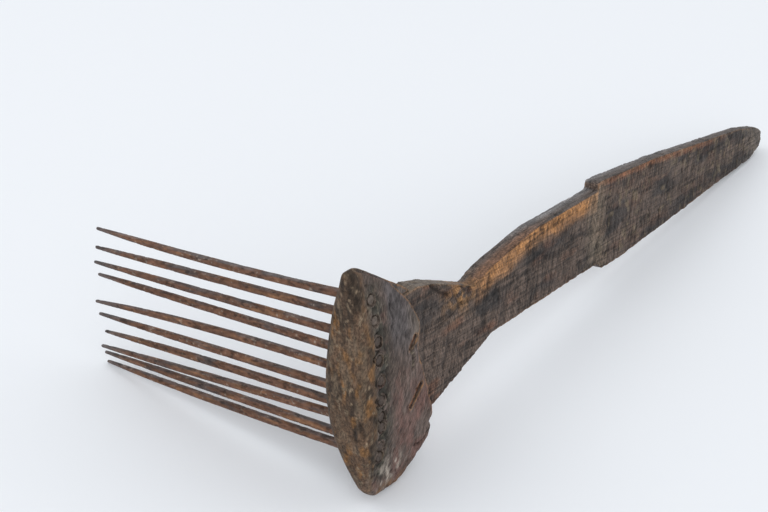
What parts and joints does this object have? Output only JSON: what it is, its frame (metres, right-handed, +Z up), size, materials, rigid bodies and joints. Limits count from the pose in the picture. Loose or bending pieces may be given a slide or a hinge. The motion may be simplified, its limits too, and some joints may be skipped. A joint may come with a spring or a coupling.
{
  "type": "wool comb",
  "caption": "Hand comb for wool: a row of long bent iron tines driven through a carved wooden head, housed on a flat board handle with a waist and a stepped grip",
  "frame": {"origin": "middle of the comb's box at its lowest point, with the comb lying at rest on the head's lower end, the last tine's tip and the handle's end", "axes": "+X from the row of tines along the handle to its far end, +Y along the tines towards their tips, +Z up, along the head's length"},
  "size_m": [0.4284, 0.186, 0.1207],
  "materials": {
    "head_wood": "old dry wood, worn and handled, matt with a dull polish",
    "handle_wood": "old dark wood, worn paler along its edges, matt with a dull polish",
    "key_wood": "reddish dry wood, matt",
    "tine_iron": "forged iron with a thin brown rust, dull"
  },
  "bodies": {
    "root": {"head_block": "head_wood", "handle": "handle_wood", "key_upper": "key_wood", "key_lower": "key_wood", "tine_01": "tine_iron", "tine_02": "tine_iron", "tine_03": "tine_iron", "tine_04": "tine_iron", "tine_05": "tine_iron", "tine_06": "tine_iron", "tine_07": "tine_iron", "tine_08": "tine_iron", "tine_09": "tine_iron", "tine_10": "tine_iron"}
  },
  "joints": []
}
